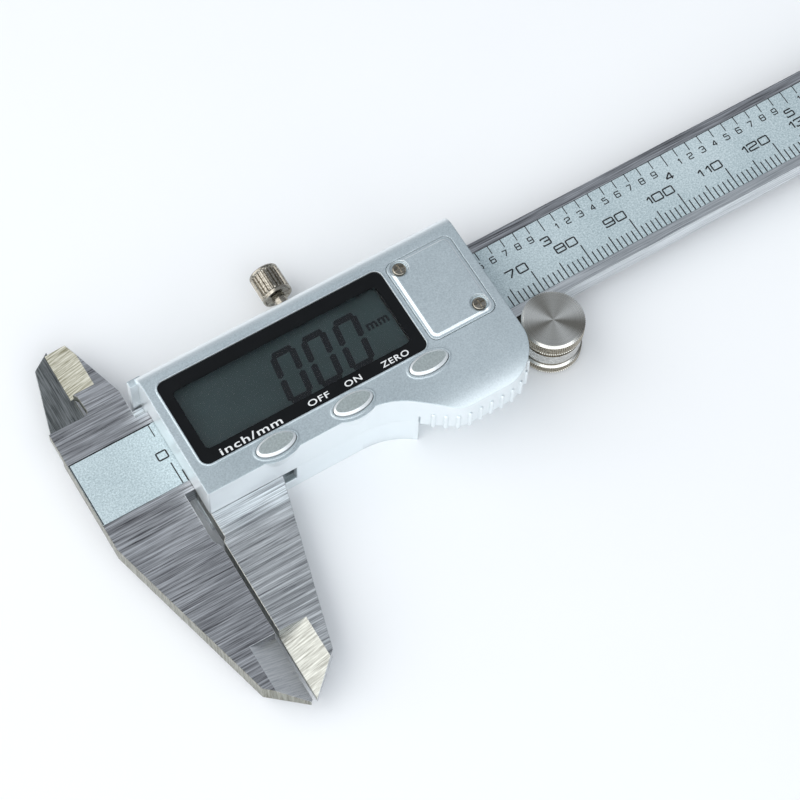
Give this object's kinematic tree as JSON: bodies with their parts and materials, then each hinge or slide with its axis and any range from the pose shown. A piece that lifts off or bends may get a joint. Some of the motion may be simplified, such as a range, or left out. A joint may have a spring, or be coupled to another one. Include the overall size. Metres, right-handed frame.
{
  "type": "digital caliper",
  "caption": "Digital caliper with a sliding jaw, number display, push buttons, thumb roller, locking screw and depth rod.",
  "frame": {"origin": "centre of the footprint, on the plane of the slider's flat back, which the caliper rests on", "axes": "+X along the beam from the fixed jaws to the free end, +Y from the outside jaws to the inside jaws, +Z out of the display face"},
  "size_m": [0.2362, 0.0758, 0.0159],
  "materials": {
    "beam_steel": "ground along its length",
    "slider_steel": "ground satin",
    "plain_steel": "satin",
    "nickel_steel": "bright nickel plate",
    "spring_steel": "bright strip",
    "printed_label": "satin film printed in black",
    "board_laminate": "matt green laminate",
    "housing_metal": "fine satin",
    "button_grey": "satin grey",
    "black_plastic": "matt black",
    "window_plastic": "clear window with a black mask",
    "display_glass": "grey-green liquid-crystal cell",
    "elastomer": "soft conductive strip"
  },
  "bodies": {
    "beam": {"beam": "beam_steel", "scale_circuit": "board_laminate", "scale_label": "printed_label", "end_stop": "plain_steel", "end_stop_screws": "nickel_steel"},
    "slider": {"slider_frame": "slider_steel", "gib_strip": "plain_steel", "gib_screws": "plain_steel", "depth_rod": "plain_steel", "roller_spring": "spring_steel", "roller_spring_screw": "nickel_steel", "circuit_board": "board_laminate", "board_screws": "nickel_steel", "driver_chip": "black_plastic", "switch_domes": "spring_steel", "display_frame": "black_plastic", "display_contacts": "elastomer", "display_glass": "display_glass", "display_window": "window_plastic", "battery_contact_negative": "spring_steel", "battery_contact_positive": "spring_steel", "battery_holder": "black_plastic", "battery_cell": "nickel_steel", "front_housing": "housing_metal", "battery_cover": "housing_metal", "battery_cover_screws": "nickel_steel", "rear_housing": "housing_metal", "rear_screws": "nickel_steel", "housing_screws": "nickel_steel"},
    "thumb_roller": {"thumb_roller": "nickel_steel"},
    "lock_screw": {"lock_screw": "nickel_steel"},
    "unit_button": {"unit_button": "button_grey"},
    "power_button": {"power_button": "button_grey"},
    "zero_button": {"zero_button": "button_grey"}
  },
  "joints": [
    {"name": "slider_slide", "type": "slide", "parent": "beam", "child": "slider", "axis": [1, 0, 0], "range_m": [-0.0006, 0.15]},
    {"name": "roller_spin", "type": "hinge", "parent": "slider", "child": "thumb_roller", "pos_m": [-0.03587, -0.00217, 0.005], "axis": [0, 0, 1], "range_deg": [-8, 1812]},
    {"name": "lock_screw_turn", "type": "hinge", "parent": "slider", "child": "lock_screw", "pos_m": [-0.07228, 0.02718, 0.005], "axis": [0, 1, 0], "range_deg": [-90, 720]},
    {"name": "unit_button_press", "type": "slide", "parent": "slider", "child": "unit_button", "axis": [0, 0, -1], "range_m": [0, 0.0004], "stiffness_N_per_m": 1500, "springref_m": -0.0002},
    {"name": "power_button_press", "type": "slide", "parent": "slider", "child": "power_button", "axis": [0, 0, -1], "range_m": [0, 0.0004], "stiffness_N_per_m": 1500, "springref_m": -0.0002},
    {"name": "zero_button_press", "type": "slide", "parent": "slider", "child": "zero_button", "axis": [0, 0, -1], "range_m": [0, 0.0004], "stiffness_N_per_m": 1500, "springref_m": -0.0002}
  ],
  "couplings": [
    {"joint": "roller_spin", "follows": "slider_slide", "rad_per_m": 210.53}
  ]
}
